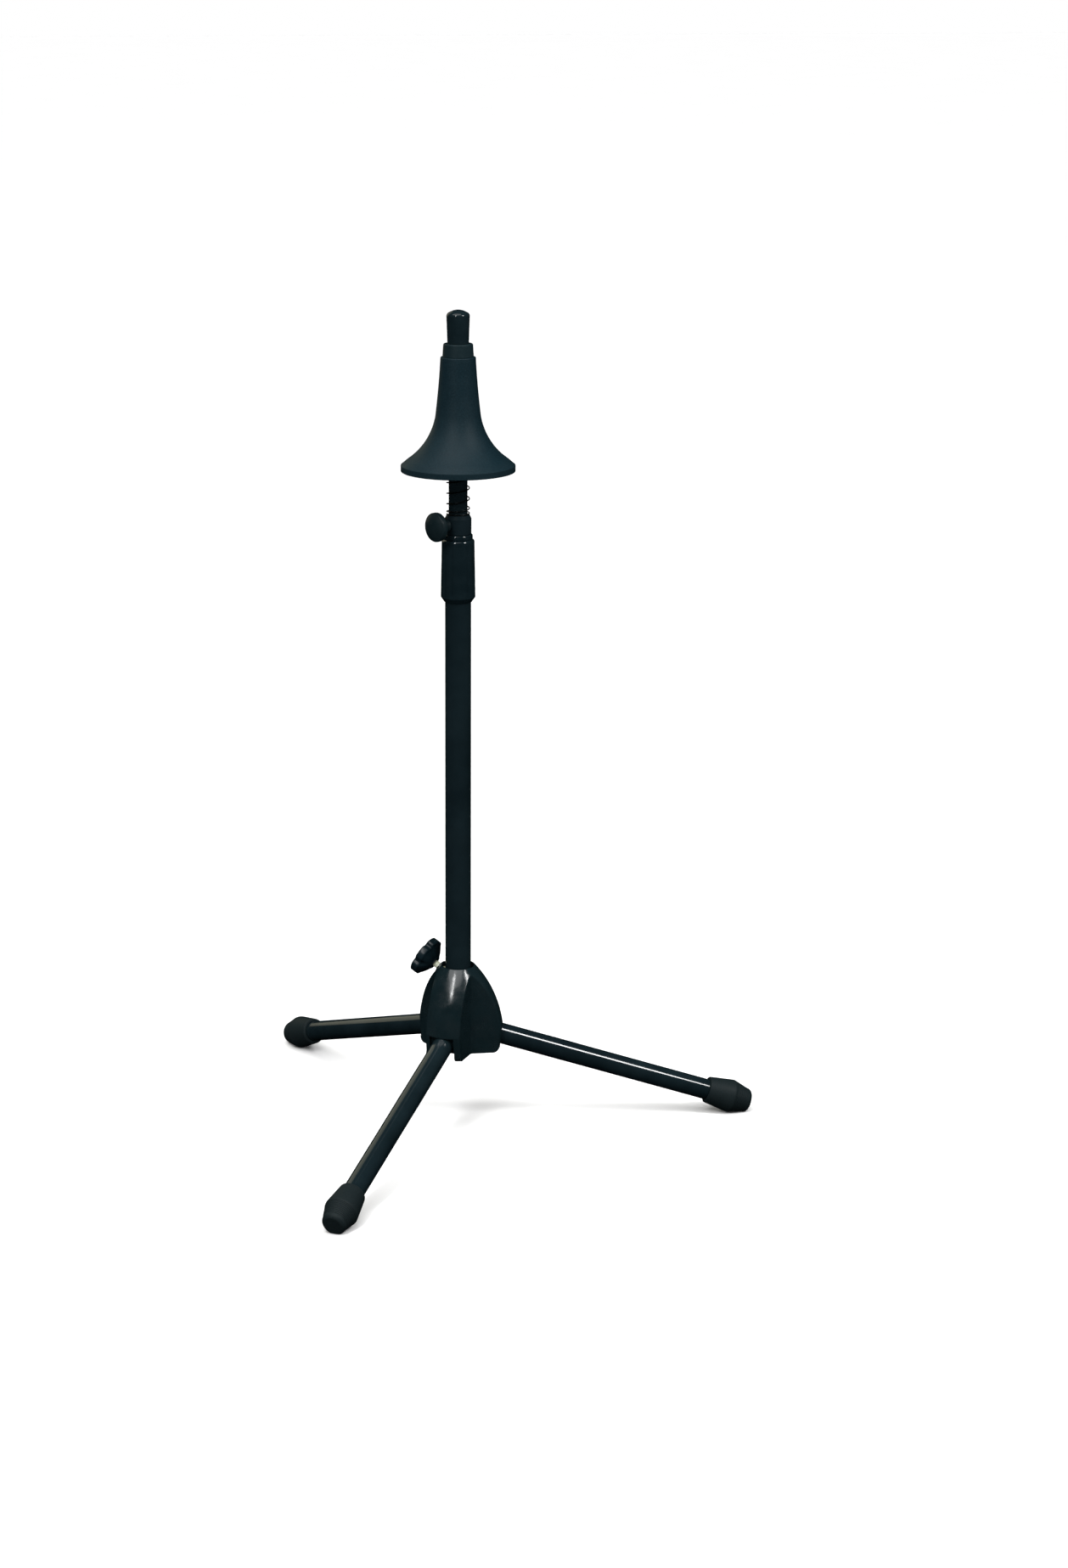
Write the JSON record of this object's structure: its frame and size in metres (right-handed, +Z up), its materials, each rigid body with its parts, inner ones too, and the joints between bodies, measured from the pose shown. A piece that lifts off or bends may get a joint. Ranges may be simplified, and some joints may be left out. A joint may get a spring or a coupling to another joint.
{
  "type": "instrument stand",
  "caption": "Folding tripod floor stand with a telescopic column, twist clutch and a sprung flared cone that holds a brass instrument by its bell.",
  "frame": {"origin": "on the floor, straight below the column's axis", "axes": "+Z up along the column; +X out over the first leg; the other legs follow at 120 degrees counterclockwise seen from above"},
  "size_m": [0.4004, 0.4594, 0.7173],
  "materials": {
    "hub_enamel": "gloss black stoving enamel over a die casting, faint orange peel",
    "tube_enamel": "gloss black enamelled steel tube",
    "collar_enamel": "gloss black enamelled collar",
    "pin_steel": "blackened steel",
    "yellow_zinc": "yellow passivated zinc plating",
    "spring_steel": "dark spring wire, lightly oiled",
    "black_nylon": "black moulded nylon",
    "clutch_plastic": "gloss black moulded plastic with flutes",
    "knob_plastic": "gloss black moulded plastic",
    "knob_satin": "satin black moulded plastic",
    "tip_vinyl": "gloss black dipped vinyl",
    "bush_plastic": "satin black moulded plastic",
    "cone_rubber": "fine-textured charcoal rubber",
    "foot_rubber": "satin charcoal rubber with fine rings"
  },
  "bodies": {
    "base": {"hub": "hub_enamel", "hub_bush": "black_nylon", "leg_1_pin": "pin_steel", "leg_2_pin": "pin_steel", "leg_3_pin": "pin_steel"},
    "leg_1": {"leg_1_knuckle": "hub_enamel", "leg_1_tube": "tube_enamel", "leg_1_foot": "foot_rubber"},
    "leg_2": {"leg_2_knuckle": "hub_enamel", "leg_2_tube": "tube_enamel", "leg_2_foot": "foot_rubber"},
    "leg_3": {"leg_3_knuckle": "hub_enamel", "leg_3_tube": "tube_enamel", "leg_3_foot": "foot_rubber"},
    "clamp_shoe": {"clamp_pad": "black_nylon"},
    "clamp_screw": {"clamp_bolt": "yellow_zinc", "clamp_knob": "knob_plastic"},
    "column": {"outer_tube": "tube_enamel", "column_plug": "black_nylon", "clutch_core": "black_nylon", "clutch_collet": "black_nylon", "clutch_flange": "clutch_plastic"},
    "clutch_grip": {"clutch_sleeve": "clutch_plastic"},
    "rod": {"inner_rod": "tube_enamel", "rod_glide": "black_nylon", "rod_tip_cap": "tip_vinyl"},
    "collar": {"stop_collar": "collar_enamel", "spring": "spring_steel"},
    "collar_shoe": {"collar_pad": "black_nylon"},
    "collar_thumbscrew": {"collar_screw": "pin_steel", "collar_knob": "knob_satin"},
    "cone_seat": {"spring_washer": "black_nylon"},
    "cone": {"bell_cone": "cone_rubber", "cone_guide_bush": "bush_plastic"}
  },
  "joints": [
    {"name": "leg_1_fold", "type": "hinge", "parent": "base", "child": "leg_1", "pos_m": [0.0245, 0, 0.08592], "axis": [0, 1, 0], "range_deg": [0, 71.6]},
    {"name": "leg_2_fold", "type": "hinge", "parent": "base", "child": "leg_2", "pos_m": [-0.01225, 0.02122, 0.08592], "axis": [-0.866, -0.5, 0], "range_deg": [0, 71.6]},
    {"name": "leg_3_fold", "type": "hinge", "parent": "base", "child": "leg_3", "pos_m": [-0.01225, -0.02122, 0.08592], "axis": [0.866, -0.5, 0], "range_deg": [0, 71.6]},
    {"name": "column_slide", "type": "slide", "parent": "base", "child": "column", "axis": [0, 0, 1], "range_m": [-0.055, 0.04]},
    {"name": "clamp_shoe_slide", "type": "slide", "parent": "base", "child": "clamp_shoe", "axis": [-0.713, 0.4992, 0.4924], "range_m": [0, 0.002]},
    {"name": "clamp_knob_turn", "type": "hinge", "parent": "clamp_shoe", "child": "clamp_screw", "pos_m": [-0.00909, 0.00637, 0.1371], "axis": [-0.713, 0.4992, 0.4924], "range_deg": [0, 720]},
    {"name": "clutch_turn", "type": "hinge", "parent": "column", "child": "clutch_grip", "pos_m": [0, 0, 0.496], "axis": [0, 0, 1], "range_deg": [0, 90]},
    {"name": "rod_slide", "type": "slide", "parent": "column", "child": "rod", "axis": [0, 0, 1], "range_m": [0, 0.36]},
    {"name": "collar_turn", "type": "hinge", "parent": "rod", "child": "collar", "pos_m": [0, 0, 0.5356], "axis": [0, 0, 1], "continuous": true},
    {"name": "collar_shoe_slide", "type": "slide", "parent": "collar", "child": "collar_shoe", "axis": [-0.8387, -0.5446, 0], "range_m": [0, 0.0012]},
    {"name": "collar_knob_turn", "type": "hinge", "parent": "collar_shoe", "child": "collar_thumbscrew", "pos_m": [0, 0, 0.5356], "axis": [-0.8387, -0.5446, 0], "range_deg": [0, 540]},
    {"name": "cone_slide", "type": "slide", "parent": "rod", "child": "cone_seat", "axis": [0, 0, 1], "range_m": [-0.03, 0], "stiffness_N_per_m": 400, "springref_m": 0.02, "deforming": ["spring"]},
    {"name": "cone_spin", "type": "hinge", "parent": "cone_seat", "child": "cone", "pos_m": [0, 0, 0.6], "axis": [0, 0, 1], "continuous": true}
  ],
  "couplings": [
    {"joint": "clamp_knob_turn", "follows": "clamp_shoe_slide", "rad_per_m": 6283.2},
    {"joint": "collar_knob_turn", "follows": "collar_shoe_slide", "rad_per_m": 7854}
  ]
}
